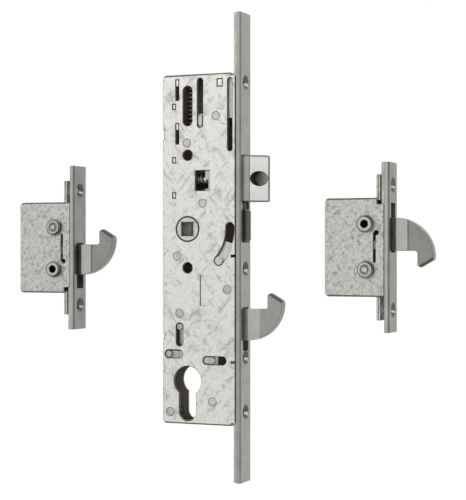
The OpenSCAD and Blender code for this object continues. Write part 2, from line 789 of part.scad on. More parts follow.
module trigger() {
  x0 = back_x - slide_gap;
  block_x = back_x + trigger_hold;
  tongue_h = latch_foot - tongue_play - trigger_tongue;
  color("darkslategray") {
    difference() {
      translate([block_x, -trigger_t / 2, trigger_foot])
        cube([front_x + trigger_out - block_x, trigger_t, trigger_h]);
      translate([front_x + trigger_out, 0, trigger_top]) rotate([0, 45, 0])
        cube([trigger_edge, 2 * trigger_t, trigger_edge], center = true);
      translate([front_x + trigger_out, 0, trigger_foot]) rotate([0, 45, 0])
        cube([trigger_edge, 2 * trigger_t, trigger_edge], center = true);
    }
    // Tongue above the follower's stud, and the flange behind the faceplate
    translate([x0, -trigger_t / 2, trigger_tongue])
      cube([front_x - tongue_play - x0, trigger_t, tongue_h]);
    translate([x0 - trigger_flange_t, -flange_y, trigger_tongue])
      cube([trigger_flange_t, flange_y + slide_out_y, tongue_h]);
  }
}

module trigger_spring() {
  len = back_x - slide_gap - trigger_flange_t - trigger_seat_x - 2 * latch_seat;
  color("silver") translate([trigger_seat_x + latch_seat, 0, trigger_spring_z]) rotate([0, 90, 0])
    coil(trigger_spring_d, len, trigger_spring_turns, wire_d);
}

module main_hook() {
  color("darkgray") translate([front_x, 0, -hook_drop]) hook(box_pivot_in, box_pivot_up);
}

module main_hook_axle() {
  color("silver") bar([box_pivot_x, box_pivot_z], axle_d, -half_t, half_t);
}

// Hook units

module upper_place() {
  translate([upper_x, 0, unit_z]) children();
}

// The lower unit is the mirror image of the upper one
module lower_place() {
  translate([lower_x, 0, unit_z]) mirror([0, 0, 1]) children();
}

module unit_faceplate(len) {
  color("darkgray") difference() {
    plate_blank(-len / 2, len / 2);
    for (z = [-1, 1]) screw_hole(z * unit_screws / 2);
    plate_slot(unit_hook_z - hook_sweep(unit_pivot_in, unit_pivot_up), unit_hook_z + hook_slot_over,
      hook_t + 2 * window_gap);
  }
}

module unit_outline() {
  left_rounded(unit_rear, -unit_h / 2, unit_back, unit_h / 2, case_corner);
}

// Body of a hook case, with a foot bent up and down behind the faceplate
module unit_tray() {
  foot_x = unit_back - rail_space;
  z1 = unit_h / 2;
  color("gainsboro") difference() {
    union() {
      difference() {
        slab(-inner_y, half_t) unit_outline();
        slab(-inner_y - overcut, inner_y) rect(unit_rear + wall, -z1 + wall, unit_back + overcut, z1 - wall);
        slab(-inner_y - overcut, inner_y) rect(foot_x, -z1 - overcut, unit_back + overcut, z1 + overcut);
      }
      for (side = [-1, 1])
        translate([foot_x - foot_t, -inner_y, side > 0 ? z1 - wall : -z1 - foot_len])
          cube([foot_t, inner_y + half_t, foot_len + wall]);
    }
    for (side = [-1, 1]) translate([foot_x - foot_t - overcut, 0, side * unit_screws / 2])
      rotate([0, 90, 0]) cylinder(d = screw_d, h = foot_t + 2 * overcut);
    bar([-unit_pivot_in, unit_pivot_z], axle_d, inner_y - overcut, half_t + overcut);
  }
}

module unit_cover() {
  color("gainsboro") difference() {
    slab(-half_t, -inner_y) difference() {
      unit_outline();
      rect(unit_back - cover_gap, -unit_h, unit_back + overcut, unit_h);
      rect(unit_back - relief[0], -unit_h, unit_back + overcut, -unit_h / 2 + relief[1]);
      rect(slit_x - slit_w / 2, slit[0], slit_x + slit_w / 2, slit[1]);
      translate([slit_x + slit_eye_x, slit[0]]) circle(d = slit_eye_d);
      translate(unit_bush) circle(d = bush_neck_d);
    }
    bar([-unit_pivot_in, unit_pivot_z], axle_d, -half_t - overcut, -inner_y + overcut);
  }
}

// Axle of a hook, with a round head on the cover, set off like a cam
module unit_axle() {
  at = [-unit_pivot_in, unit_pivot_z];
  color("silver") {
    bar(at, axle_d, -half_t, half_t);
    bar(unit_head, boss_d, -half_t - boss_h + boss_rim, -half_t);
    bar(unit_head, boss_top_d, -half_t - boss_h, -half_t);
  }
}

// Screw bush riveted into the cover
module unit_bush_body() {
  color("silver") difference() {
    union() {
      bar(unit_bush, bush_neck_d, -half_t, -inner_y);
      bar(unit_bush, boss_d, -half_t - boss_h + boss_rim, -half_t);
      bar(unit_bush, boss_top_d, -half_t - boss_h, -half_t);
    }
    bar(unit_bush, bush_bore, -half_t - boss_h - overcut, -inner_y + overcut);
  }
}

module unit_hook() {
  color("darkgray") translate([0, 0, unit_hook_z]) hook(unit_pivot_in, unit_pivot_up);
}

// Rail of a hook unit, open round the hook, with the arm that carries the drive pin
module unit_slide(len) {
  front = unit_back - rail_front;
  deep = unit_back - rail_deep;
  pin = [-unit_pivot_in - drive_pin_arm, unit_pivot_z - travel / 2];
  leg = slide_out_y - hook_y - slide_gap;
  bar_z = pin[1] * [1, 1] - arm_under;
  screw_r = screw_d / 2 + slot_gap;
  open_foot = -unit_screws / 2 - screw_r - travel;
  rail_foot = min(-len / 2, open_foot - rail_lip);
  color("lightgray") {
    difference() {
      translate([deep, -slide_out_y, rail_foot]) cube([rail_t, rail_w, unit_rail_top - rail_foot]);
      translate([deep - overcut, -slide_out_y + leg, open_foot])
        cube([rail_t + 2 * overcut, rail_w - 2 * leg, unit_open_top - open_foot]);
    }
    // Arm that passes under the axle and up to the drive pin
    slab(-slide_out_y, -slide_in_y) {
      rect(pin[0] - pin_pad, bar_z[0], front, bar_z[1]);
      rect(pin[0] - pin_pad, bar_z[0], pin[0] + arm_side, pin[1] + pin_pad);
    }
    bar(pin, drive_pin_d, -slide_out_y, hook_y - pin_short);
  }
}

module upper_faceplate() { upper_place() unit_faceplate(upper_plate_len); }
module upper_case_tray() { upper_place() unit_tray(); }
module upper_case_cover() { upper_place() unit_cover(); }
module upper_axle() { upper_place() unit_axle(); }
module upper_bush() { upper_place() unit_bush_body(); }
module upper_hook() { upper_place() unit_hook(); }
module upper_slide() { upper_place() unit_slide(upper_plate_len); }

module lower_faceplate() { lower_place() unit_faceplate(lower_plate_len); }
module lower_case_tray() { lower_place() unit_tray(); }
module lower_case_cover() { lower_place() unit_cover(); }
module lower_axle() { lower_place() unit_axle(); }
module lower_bush() { lower_place() unit_bush_body(); }
module lower_hook() { lower_place() unit_hook(); }
module lower_slide() { lower_place() unit_slide(lower_plate_len); }

main_faceplate();
main_case_tray();
main_case_cover();
case_rivets();
guide_tabs();
follower();
upper_drive();
lower_drive();
deadlock_slide();
latch_bolt();
latch_screw();
latch_spring();
handle_spring();
trigger();
trigger_spring();
main_hook();
main_hook_axle();
upper_faceplate();
upper_case_tray();
upper_case_cover();
upper_axle();
upper_bush();
upper_hook();
upper_slide();
lower_faceplate();
lower_case_tray();
lower_case_cover();
lower_axle();
lower_bush();
lower_hook();
lower_slide();
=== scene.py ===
"""Multipoint door lock: finishes, softened edges, springs, small details and a plain studio."""

import json
import math

import bpy
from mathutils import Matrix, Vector


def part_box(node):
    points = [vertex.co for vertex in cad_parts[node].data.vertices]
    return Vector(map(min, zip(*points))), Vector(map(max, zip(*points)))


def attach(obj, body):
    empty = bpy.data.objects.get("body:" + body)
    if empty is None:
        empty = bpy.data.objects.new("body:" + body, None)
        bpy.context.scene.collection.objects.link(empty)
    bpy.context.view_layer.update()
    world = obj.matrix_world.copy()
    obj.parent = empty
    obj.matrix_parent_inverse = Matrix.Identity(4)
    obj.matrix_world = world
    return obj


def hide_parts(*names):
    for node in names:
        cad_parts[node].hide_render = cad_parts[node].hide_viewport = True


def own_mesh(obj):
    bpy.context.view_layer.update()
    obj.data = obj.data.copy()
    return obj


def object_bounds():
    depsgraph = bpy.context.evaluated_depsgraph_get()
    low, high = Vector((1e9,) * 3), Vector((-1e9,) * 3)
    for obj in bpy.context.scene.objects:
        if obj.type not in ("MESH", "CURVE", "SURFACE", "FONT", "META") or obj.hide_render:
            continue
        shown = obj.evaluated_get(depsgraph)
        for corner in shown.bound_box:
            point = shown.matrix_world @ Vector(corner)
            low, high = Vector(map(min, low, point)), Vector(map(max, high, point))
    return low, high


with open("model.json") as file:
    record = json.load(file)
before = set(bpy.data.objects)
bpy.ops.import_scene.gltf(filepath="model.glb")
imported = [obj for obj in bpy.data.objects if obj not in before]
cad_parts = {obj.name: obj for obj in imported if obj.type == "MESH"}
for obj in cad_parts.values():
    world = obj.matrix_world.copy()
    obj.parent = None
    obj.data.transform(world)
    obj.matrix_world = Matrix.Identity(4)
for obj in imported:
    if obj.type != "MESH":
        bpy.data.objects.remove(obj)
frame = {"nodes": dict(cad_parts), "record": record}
cad_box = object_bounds()

MM = 0.001
X, Y, Z = range(3)

# Camera: the photograph looks 23 degrees round from the cover towards the faceplate's front, level,
# from 0.9 m. One pixel at the cover is 0.605 mm.
VIEW_TURN = math.radians(23)
VIEW_DISTANCE = 900 * MM
VIEW_ALONG = 24.6 * MM
VIEW_HEIGHT = -12.7 * MM
FOCAL_PIXELS = 1475.6
IMAGE_HEIGHT = 500
SENSOR = 36


# Tools


def linear(code):
    """A linear colour from an sRGB hex value."""
    parts = [int(code[i:i + 2], 16) / 255 for i in (1, 3, 5)]
    return [c / 12.92 if c <= 0.04045 else ((c + 0.055) / 1.055) ** 2.4 for c in parts] + [1.0]


def add(tree, kind, inputs=None, **settings):
    """One shader node: settings are its properties, inputs are values or sockets to link from."""
    node = tree.nodes.new(kind)
    for name, value in settings.items():
        setattr(node, name, value)
    for name, value in (inputs or {}).items():
        if isinstance(value, bpy.types.NodeSocket):
            tree.links.new(value, node.inputs[name])
        else:
            node.inputs[name].default_value = value
    return node


def pick(*objects):
    """Selects these objects alone."""
    bpy.ops.object.select_all(action="DESELECT")
    for item in objects:
        item.select_set(True)
    bpy.context.view_layer.objects.active = objects[0]


def blank(name):
    """A material with its tree and shader, ready for nodes."""
    material = bpy.data.materials.new(name)
    material.use_nodes = True
    tree = material.node_tree
    return material, tree, tree.nodes["Principled BSDF"]


def per(size_mm):
    """Texture scale for a feature of that size."""
    return 1 / (size_mm * MM)


# Finishes

# Sockets of a Mix node that mixes colours
MIX_FIRST = 6
MIX_SECOND = 7
MIX_RESULT = 2

# The part of a noise's run from 0 to 1 that most of it lies in, and its middle
NOISE_LOW = 0.3
NOISE_HIGH = 0.7
NOISE_MIDDLE = (0.5, 0.5, 0.5)

# Sheet: how far its clouds and rubs are bent out of line, in patches, and how softly the clouds begin
DRIFT_PATCHES = 1.6
CLOUD_BEND = 1.4
RUB_BEND = 0.7
CLOUD_BREAK = 0.62
CLOUD_BLEND = 0.24
# Rubs: how far they lean from upright, and how strong they are in one patch and in the next
RUBS = ((math.radians(42), 0.95, 0.15), (math.radians(-38), 0.0, 0.75))
RUB_STRETCH = 5.0
RUB_FROM = 0.53
RUB_FULL = 0.68
PATCH_FROM = 0.4
PATCH_FULL = 0.6
# Specks, sheen and grain of the plating
SPECK_FROM = 0.5
SPECK_FULL = 0.78
SPECK_SHARE = 0.5
SHEET_METALLIC = 0.75
SHEET_SLEEK = 0.42
SHEET_DULL = 0.6
SHEET_BUMP = 0.12
SHEET_BUMP_HEIGHT = 0.1 * MM


def zinc_sheet(name, light, shade, deep, patch_mm, rub_mm, grain_mm, shade_from):
    """Zinc plated mild steel sheet, barrel plated: pale, with faint clouds, slanting rubs and fine specks.

    These are patch_mm, rub_mm and grain_mm wide, and a higher shade_from leaves fewer clouds.
    """
    material, tree, shader = blank(name)
    at = add(tree, "ShaderNodeTexCoord").outputs["Object"]
    drift = add(tree, "ShaderNodeTexNoise", {"Vector": at, "Scale": per(patch_mm * DRIFT_PATCHES),
                                             "Detail": 3.0})
    bend = add(tree, "ShaderNodeVectorMath", {0: drift.outputs["Color"], 1: NOISE_MIDDLE},
               operation="SUBTRACT")
    swing = add(tree, "ShaderNodeVectorMath", {0: bend.outputs[0], "Scale": patch_mm * CLOUD_BEND * MM},
                operation="SCALE")
    bent = add(tree, "ShaderNodeVectorMath", {0: at, 1: swing.outputs[0]}, operation="ADD")
    clouds = add(tree, "ShaderNodeTexNoise", {"Vector": bent.outputs[0], "Scale": per(patch_mm),
                                              "Detail": 6.0, "Roughness": CLOUD_BREAK})
    grey = add(tree, "ShaderNodeMapRange", {"Value": clouds.outputs[0], "From Min": shade_from,
                                            "From Max": shade_from + CLOUD_BLEND},
               interpolation_type="SMOOTHSTEP")
    # Rubs lie slantwise, patch by patch, as the parts tumble past each other in the barrel
    ripple = add(tree, "ShaderNodeVectorMath", {0: bend.outputs[0], "Scale": patch_mm * RUB_BEND * MM},
                 operation="SCALE")
    wavy = add(tree, "ShaderNodeVectorMath", {0: at, 1: ripple.outputs[0]}, operation="ADD")
    for lean, least, most in RUBS:
        slant = add(tree, "ShaderNodeMapping", {"Vector": wavy.outputs[0], "Rotation": (0.0, lean, 0.0),
                                                "Scale": (1.0, 1.0, RUB_STRETCH)}, vector_type="TEXTURE")
        rubs = add(tree, "ShaderNodeTexNoise", {"Vector": slant.outputs[0], "Scale": per(rub_mm),
                                                "Detail": 4.0})
        feather = add(tree, "ShaderNodeMapRange", {"Value": rubs.outputs[0], "From Min": RUB_FROM,
                                                   "From Max": RUB_FULL}, interpolation_type="SMOOTHSTEP")
        patch = add(tree, "ShaderNodeMapRange", {"Value": drift.outputs[0], "From Min": PATCH_FROM,
                                                 "From Max": PATCH_FULL, "To Min": least, "To Max": most})
        worn = add(tree, "ShaderNodeMath", {0: feather.outputs[0], 1: patch.outputs[0]}, operation="MULTIPLY")
        grey = add(tree, "ShaderNodeMath", {0: grey.outputs[0], 1: worn.outputs[0]}, operation="ADD",
                   use_clamp=True)
    grain = add(tree, "ShaderNodeTexNoise", {"Vector": at, "Scale": per(grain_mm), "Detail": 2.0})
    speck = add(tree, "ShaderNodeMapRange", {"Value": grain.outputs[0], "From Min": SPECK_FROM,
                                             "From Max": SPECK_FULL, "To Max": SPECK_SHARE})
    pale = add(tree, "ShaderNodeMix", {"Factor": grey.outputs[0], MIX_FIRST: linear(light),
                                       MIX_SECOND: linear(shade)}, data_type="RGBA")
    tone = add(tree, "ShaderNodeMix", {"Factor": speck.outputs[0], MIX_FIRST: pale.outputs[MIX_RESULT],
                                       MIX_SECOND: linear(deep)}, data_type="RGBA")
    tree.links.new(tone.outputs[MIX_RESULT], shader.inputs["Base Color"])
    rough = add(tree, "ShaderNodeMapRange", {"Value": clouds.outputs[0], "From Min": NOISE_LOW,
                                             "From Max": NOISE_HIGH, "To Min": SHEET_SLEEK,
                                             "To Max": SHEET_DULL})
    tree.links.new(rough.outputs[0], shader.inputs["Roughness"])
    bump = add(tree, "ShaderNodeBump", {"Height": grain.outputs[0], "Strength": SHEET_BUMP,
                                        "Distance": SHEET_BUMP_HEIGHT})
    tree.links.new(bump.outputs[0], shader.inputs["Normal"])
    shader.inputs["Metallic"].default_value = SHEET_METALLIC
    return material


# Lined metal: clouds and streaks of tone, and how much sleeker and duller its lines are
METAL_CLOUD_MM = 9
STREAK_FROM = 0.75
STREAK_FULL = 1.25
LINED_METALLIC = 0.85
LINE_SLEEK = 0.06
LINE_DULL = 0.08
LINE_BUMP = 0.1
LINE_BUMP_HEIGHT = 0.05 * MM


def lined_metal(name, light, shade, line_mm, run_mm, roughness, along):
    """Metal with lines along one axis, from drawing, turning or wear, and faint clouds across them.

    A line is line_mm wide and run_mm long. Real ones are about 0.1 mm wide, and these are as coarse as they
    need to be to show.
    """
    material, tree, shader = blank(name)
    at = add(tree, "ShaderNodeTexCoord").outputs["Object"]
    stretch = [line_mm / run_mm if axis == along else 1.0 for axis in (X, Y, Z)]
    lines_at = add(tree, "ShaderNodeMapping", {"Vector": at, "Scale": stretch})
    lines = add(tree, "ShaderNodeTexNoise", {"Vector": lines_at.outputs[0], "Scale": per(line_mm),
                                             "Detail": 3.0})
    clouds = add(tree, "ShaderNodeTexNoise", {"Vector": at, "Scale": per(METAL_CLOUD_MM), "Detail": 4.0})
    share = add(tree, "ShaderNodeMath", {0: lines.outputs[0], 1: clouds.outputs[0]}, operation="ADD")
    mask = add(tree, "ShaderNodeMapRange", {"Value": share.outputs[0], "From Min": STREAK_FROM,
                                            "From Max": STREAK_FULL})
    tone = add(tree, "ShaderNodeMix", {"Factor": mask.outputs[0], MIX_FIRST: linear(light),
                                       MIX_SECOND: linear(shade)}, data_type="RGBA")
    tree.links.new(tone.outputs[MIX_RESULT], shader.inputs["Base Color"])
    rough = add(tree, "ShaderNodeMapRange", {"Value": lines.outputs[0], "From Min": NOISE_LOW,
                                             "From Max": NOISE_HIGH, "To Min": roughness - LINE_SLEEK,
                                             "To Max": roughness + LINE_DULL})
    tree.links.new(rough.outputs[0], shader.inputs["Roughness"])
    bump = add(tree, "ShaderNodeBump", {"Height": lines.outputs[0], "Strength": LINE_BUMP,
                                        "Distance": LINE_BUMP_HEIGHT})
    tree.links.new(bump.outputs[0], shader.inputs["Normal"])
    shader.inputs["Metallic"].default_value = LINED_METALLIC
    return material


# Matte grain: its size, its relief and its faint sheen
MATTE_GRAIN_MM = 0.5
MATTE_BUMP = 0.2
MATTE_BUMP_HEIGHT = 0.05 * MM
MATTE_ROUGHNESS = 0.5
MATTE_SPECULAR = 0.3


def matte_grain(name, light, shade):
    """A matte surface with a fine grain, as moulded nylon has; it also gives the painted shade inside the
    cases a grain.

    The grain is drawn coarser than it is, so that it shows.
    """
    material, tree, shader = blank(name)
    at = add(tree, "ShaderNodeTexCoord").outputs["Object"]
    grain = add(tree, "ShaderNodeTexNoise", {"Vector": at, "Scale": per(MATTE_GRAIN_MM), "Detail": 2.0})
    tone = add(tree, "ShaderNodeMix", {"Factor": grain.outputs[0], MIX_FIRST: linear(light),
                                       MIX_SECOND: linear(shade)}, data_type="RGBA")
    tree.links.new(tone.outputs[MIX_RESULT], shader.inputs["Base Color"])
    bump = add(tree, "ShaderNodeBump", {"Height": grain.outputs[0], "Strength": MATTE_BUMP,
                                        "Distance": MATTE_BUMP_HEIGHT})
    tree.links.new(bump.outputs[0], shader.inputs["Normal"])
    shader.inputs["Roughness"].default_value = MATTE_ROUGHNESS
    shader.inputs["Specular IOR Level"].default_value = MATTE_SPECULAR
    return material


# Sheet: the gearbox is pale with long rubs, the hook cases are duller and more finely mottled
GEARBOX_SHEET = zinc_sheet("zinc_plated_sheet", "#e2e1dd", "#b9b8b4", "#92918b", 6, 2.6, 0.6, 0.5)
UNIT_SHEET = zinc_sheet("zinc_plated_sheet_dull", "#cbcac6", "#9e9d98", "#605f59", 2.5, 1.4, 0.7, 0.47)
# Rounded edges are darker, partly as bare blanked steel and partly as painted shade; a strip of painted shade
# runs along each cover's bent edges, and a line of painted shade marks the fold of the feet
BLANKED_EDGE_AND_SHADE = lined_metal("blanked_edge_and_painted_shade", "#6e6d67", "#55544e", 0.4, 1, 0.5, Y)
BEND_PAINTED_SHADE = lined_metal("sheet_bend_painted_shade", "#6b6a64", "#55544e", 0.6, 3, 0.5, X)
FOLD_PAINTED_SHADE = lined_metal("fold_painted_shade_line", "#4a4741", "#38352f", 0.5, 4, 0.5, Z)
# Inside the cases the faces are painted dark brown as painted shade
INSIDE_PAINTED_SHADE = matte_grain("case_inside_painted_shade", "#9a938a", "#7d776e")

# Faceplates: satin with long upright lines, a painted highlight on the sides of the hook units' plates, a
# thin dark line at the chamfers, and countersinks with a painted highlight on the flank that leans up and
# painted shade on the rest
PLATE = lined_metal("satin_drawn_plate", "#a5a4a1", "#93928e", 0.5, 14, 0.36, Z)
PLATE_SIDE = lined_metal("rubbed_plate_side", "#a3a29e", "#92918d", 0.5, 14, 0.36, Z)
PLATE_LINE = lined_metal("plate_chamfer_line", "#878682", "#777672", 0.5, 14, 0.4, Z)
UNIT_PLATE = lined_metal("satin_drawn_plate_dull", "#979692", "#868581", 0.5, 14, 0.36, Z)
UNIT_SIDE_PAINTED_HIGHLIGHT = lined_metal("plate_side_painted_highlight_dull", "#b3b2ae", "#a1a09c", 0.5, 14, 0.36, Z)
COUNTERSINK_PAINTED_SHADE = lined_metal("countersink_painted_shade", "#74736d", "#5c5b55", 0.4, 1, 0.4, Y)
COUNTERSINK_PAINTED_HIGHLIGHT = lined_metal("countersink_painted_highlight", "#d6d5d1", "#c2c1bd", 0.4, 1, 0.3, Y)

# Hooks: grey and even, with a paler worn root, rims darkened partly as painted shade, painted shade on the
# neck at the plate and a darker top to the beak
HOOK = lined_metal("zinc_plated_hook", "#9d9c97", "#92918c", 0.7, 3, 0.42, X)
UNIT_HOOK = lined_metal("zinc_plated_hook_dull", "#92918d", "#878682", 0.7, 3, 0.42, X)
HOOK_ROOT = lined_metal("rubbed_hook_root", "#b6b5b0", "#aaa9a4", 0.7, 3, 0.42, X)
HOOK_RIM_AND_SHADE = lined_metal("blanked_hook_rim", "#7c7b75", "#6a6963", 0.5, 2, 0.4, X)
HOOK_NECK_PAINTED_SHADE = lined_metal("oiled_hook_neck", "#55524c", "#403d38", 0.4, 6, 0.4, Z)
MAIN_NECK_PAINTED_SHADE = lined_metal("rubbed_hook_neck", "#85837d", "#6c6a64", 0.4, 6, 0.4, Z)
BEAK_TOP_DARK = lined_metal("dark_beak_top", "#55544e", "#43423d", 0.5, 2, 0.5, X)

# Rivets and bosses: bright heads, the rivets with rolled rings; the bosses' rounded rings carry painted
# shade, with a painted highlight on one flank and painted shade on the other
RIVET = lined_metal("zinc_plated_rivet", "#cac9c4", "#aaa9a3", 0.8, 1.6, 0.4, Y)
RIVET_RING = lined_metal("rivet_rolled_ring", "#bab9b3", "#a3a29c", 0.4, 1, 0.5, Y)
BOSS_RING_SHADE = lined_metal("boss_ring_painted_shade", "#84837d", "#6c6b65", 0.4, 1, 0.45, Y)
BOSS_PAINTED_HIGHLIGHT = lined_metal("boss_flank_painted_highlight", "#f1f0ec", "#dfddd8", 0.6, 1, 0.4, Y)
BOSS_PAINTED_SHADE = lined_metal("boss_flank_painted_shade", "#63625c", "#4e4d48", 0.6, 1, 0.5, Y)

# Moving parts: clean zinc slides, a cast follower with a greyer broached bore whose far end is painted black
# as painted shade, and dark spring wire
SLIDE = lined_metal("zinc_plated_slide", "#c0bfba", "#a4a39d", 0.7, 6, 0.42, Z)
CAST = lined_metal("cast_zinc_follower", "#d2d1cc", "#b4b3ad", 1.0, 1.4, 0.45, Y)
BORE = lined_metal("broached_bore", "#7b7973", "#65635d", 0.6, 8, 0.5, Y)
BORE_PAINTED_SHADE = lined_metal("bore_end_painted_shade", "#3e3b35", "#2e2b26", 0.6, 8, 0.5, Y)
WIRE = lined_metal("spring_wire", "#8f8d87", "#6a6862", 0.4, 2, 0.35, Z)

# Latch: bright nickel with rounded edges painted greyer as painted shade, and a dull screw deep in a bore
# painted black as painted shade
NICKEL = lined_metal("nickel_plated_latch", "#e4e3e0", "#d2d1cd", 0.5, 6, 0.32, Z)
LATCH_EDGE_PAINTED_SHADE = lined_metal("latch_edge_painted_shade", "#7e7d77", "#66655f", 0.5, 3, 0.35, Z)
LATCH_BORE_PAINTED_SHADE = lined_metal("latch_bore_painted_shade", "#4c4943", "#37342f", 0.5, 1, 0.5, Y)
SCREW = lined_metal("zinc_plated_screw", "#8f8e89", "#65645e", 0.5, 1, 0.35, Y)

# Trigger: warm black nylon, with painted shade on its near side and where it sits in the plate
NYLON = matte_grain("moulded_nylon", "#504f49", "#403f3a")
NYLON_PAINTED_SHADE = matte_grain("nylon_painted_shade", "#3c3a34", "#2e2c27")


# Pieces of the frame with softened edges

BODY_OF = {node: body for body, members in frame["record"]["behaviour"]["bodies"].items() for node in members}

# The gearbox and the two hook units, and which way each one's hook points
HOOK_UNITS = ("upper", "lower")
UP = {"main": 1, "upper": 1, "lower": -1}
PLATE_FRONT = {unit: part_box(unit + "_faceplate")[1].x for unit in UP}
SHEET_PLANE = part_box("upper_case_cover")[0].y

# Points closer than this are one, faces flatter than this are one, and edges sharper than this are rounded
MERGE = 0.002 * MM
FLAT = math.radians(0.6)
SHARP = math.radians(38)
# A face leans towards an axis, or faces it, when its normal has this much of it
SLANT = 0.4
SQUARE = 0.9
ROUND_STEPS = 2
NORMAL_WEIGHT = 100

# The slanted top of a hook's beak
BEAK_LENGTH = 9.2 * MM
BEAK_SLOPE_RUN = 6 * MM
BEAK_CHAMFER = 1.2 * MM
# A hook's neck at the plate, which carries painted shade, and its thicker root, which ends in a small slope
NECK = 2.8 * MM
ROOT_HALF = 3.5 * MM
ROOT_OLD_END = 7 * MM
ROOT_END = 9.7 * MM
ROOT_SLOPE = 0.4 * MM
# The latch's rounded head and the ring groove of an axle's head
LATCH_ROUND = 0.9 * MM
LATCH_STEPS = 3
GROOVE_IN = 1.5 * MM
GROOVE_WALL = 0.3 * MM
GROOVE_FLOOR = 0.5 * MM
# The covers' bent edges and the fold of the cases' feet, which carry painted shade, and the lit part of the
# spindle's bore
BEND = 0.85 * MM
FOLD = 0.35 * MM
FOOT_FROM = 5.2 * MM
FOOT_TO = 2.6 * MM
BORE_SHADE = 6.5 * MM
# The front edge of the cover, where slots come too close to it for rounding
FRONT_WEB = 1.5 * MM

# Pieces with thin slivers inside, whose near rims alone are rounded
RIMMED = ("main_case_cover", "upper_case_cover", "lower_case_cover", "follower", "upper_drive", "lower_drive",
          "deadlock_slide")
# Pieces with a hole or a step close to an edge, where the rounding stays narrow
CLAMPED = ("latch_bolt", "main_faceplate", "main_hook", "upper_hook", "lower_hook")


def finish_planes():
    """Planes that split a piece where its finish or its painted shade changes: axis and place, for each node.
    """
    planes = {"follower": [(Y, BORE_SHADE)]}
    for unit, front in PLATE_FRONT.items():
        planes[unit + "_hook"] = [(X, front + reach) for reach in (NECK, ROOT_END, ROOT_END + ROOT_SLOPE)]
        low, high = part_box(unit + "_case_cover")
        planes[unit + "_case_cover"] = [(Z, low.z + BEND), (Z, high.z - BEND)]
    for unit in HOOK_UNITS:
        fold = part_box(unit + "_case_tray")[1].x - (FOOT_FROM + FOOT_TO) / 2
        planes[unit + "_case_tray"] = [(X, fold - FOLD / 2), (X, fold + FOLD / 2)]
    return planes


CUTS = finish_planes()


def chamfer_beak(piece):
    """Breaks the two long edges of a hook's slanted top."""
    mesh = piece.data
    tip = max(vertex.co.x for vertex in mesh.vertices)
    for edge in mesh.edges:
        first, second = [mesh.vertices[i].co for i in edge.vertices]
        run = second - first
        edge.select = (min(first.x, second.x) > tip - BEAK_LENGTH and abs(run.x) > BEAK_SLOPE_RUN
                       and abs(run.y) < MERGE)
    bpy.ops.object.mode_set(mode="EDIT")
    bpy.ops.mesh.bevel(offset=BEAK_CHAMFER, offset_type="OFFSET", segments=1, affect="EDGES")
    bpy.ops.object.mode_set(mode="OBJECT")


def lengthen_root(piece, front):
    """Carries the thicker root of a hook on to where the photograph has its step."""
    for vertex in piece.data.vertices:
        if ROOT_OLD_END - MERGE < vertex.co.x - front < ROOT_END + MERGE:
            vertex.co.y = math.copysign(ROOT_HALF, vertex.co.y)
    bpy.ops.object.mode_set(mode="EDIT")
    bpy.ops.mesh.select_all(action="SELECT")
    bpy.ops.mesh.remove_doubles(threshold=MERGE)
    bpy.ops.mesh.select_all(action="DESELECT")
    bpy.ops.object.mode_set(mode="OBJECT")


def round_latch(piece):
    """Rounds the top and bottom edges of the latch's head."""
    mesh = piece.data
    heights = [vertex.co.z for vertex in mesh.vertices]
    for edge in mesh.edges:
        ends = [mesh.vertices[i].co.z for i in edge.vertices]
        edge.select = max(ends) < min(heights) + MERGE or min(ends) > max(heights) - MERGE
    bpy.ops.object.mode_set(mode="EDIT")
    bpy.ops.mesh.bevel(offset=LATCH_ROUND, offset_type="OFFSET", segments=LATCH_STEPS, affect="EDGES",
                       clamp_overlap=False, loop_slide=False, material=1)
    bpy.ops.object.mode_set(mode="OBJECT")


def turn_groove(piece):
    """Turns a ring groove into the flat head of a hook case's axle."""
    mesh = piece.data
    head = min(vertex.co.y for vertex in mesh.vertices)
    bpy.ops.object.mode_set(mode="EDIT")
    bpy.ops.mesh.select_mode(type="FACE")
    bpy.ops.object.mode_set(mode="OBJECT")
    for face in mesh.polygons:
        face.select = face.center.y < head + MERGE
    bpy.ops.object.mode_set(mode="EDIT")
    bpy.ops.mesh.inset(thickness=GROOVE_IN, depth=0)
    bpy.ops.mesh.inset(thickness=GROOVE_WALL, depth=-GROOVE_WALL)
    bpy.ops.mesh.inset(thickness=GROOVE_FLOOR, depth=0)
    bpy.ops.mesh.inset(thickness=GROOVE_WALL, depth=GROOVE_WALL)
    bpy.ops.object.mode_set(mode="OBJECT")


def round_rim(piece, plane, width):
    """Rounds the edges of a piece's near plane: its outline and the rims of its holes and studs."""
    mesh = piece.data
    web = max(vertex.co.x for vertex in mesh.vertices) - FRONT_WEB
    keys = set()
    for face in mesh.polygons:
        if abs(face.normal.y) < SLANT and face.center.y > plane and face.center.x < web:
            keys.update(face.edge_keys)
    for edge in mesh.edges:
        level = all(abs(mesh.vertices[i].co.y - plane) < MERGE for i in edge.vertices)
        edge.select = level and edge.key in keys
    bpy.ops.object.mode_set(mode="EDIT")
    bpy.ops.mesh.bevel(offset=width, offset_type="OFFSET", segments=ROUND_STEPS, affect="EDGES",
                       clamp_overlap=False, loop_slide=False, material=1)
    bpy.ops.object.mode_set(mode="OBJECT")


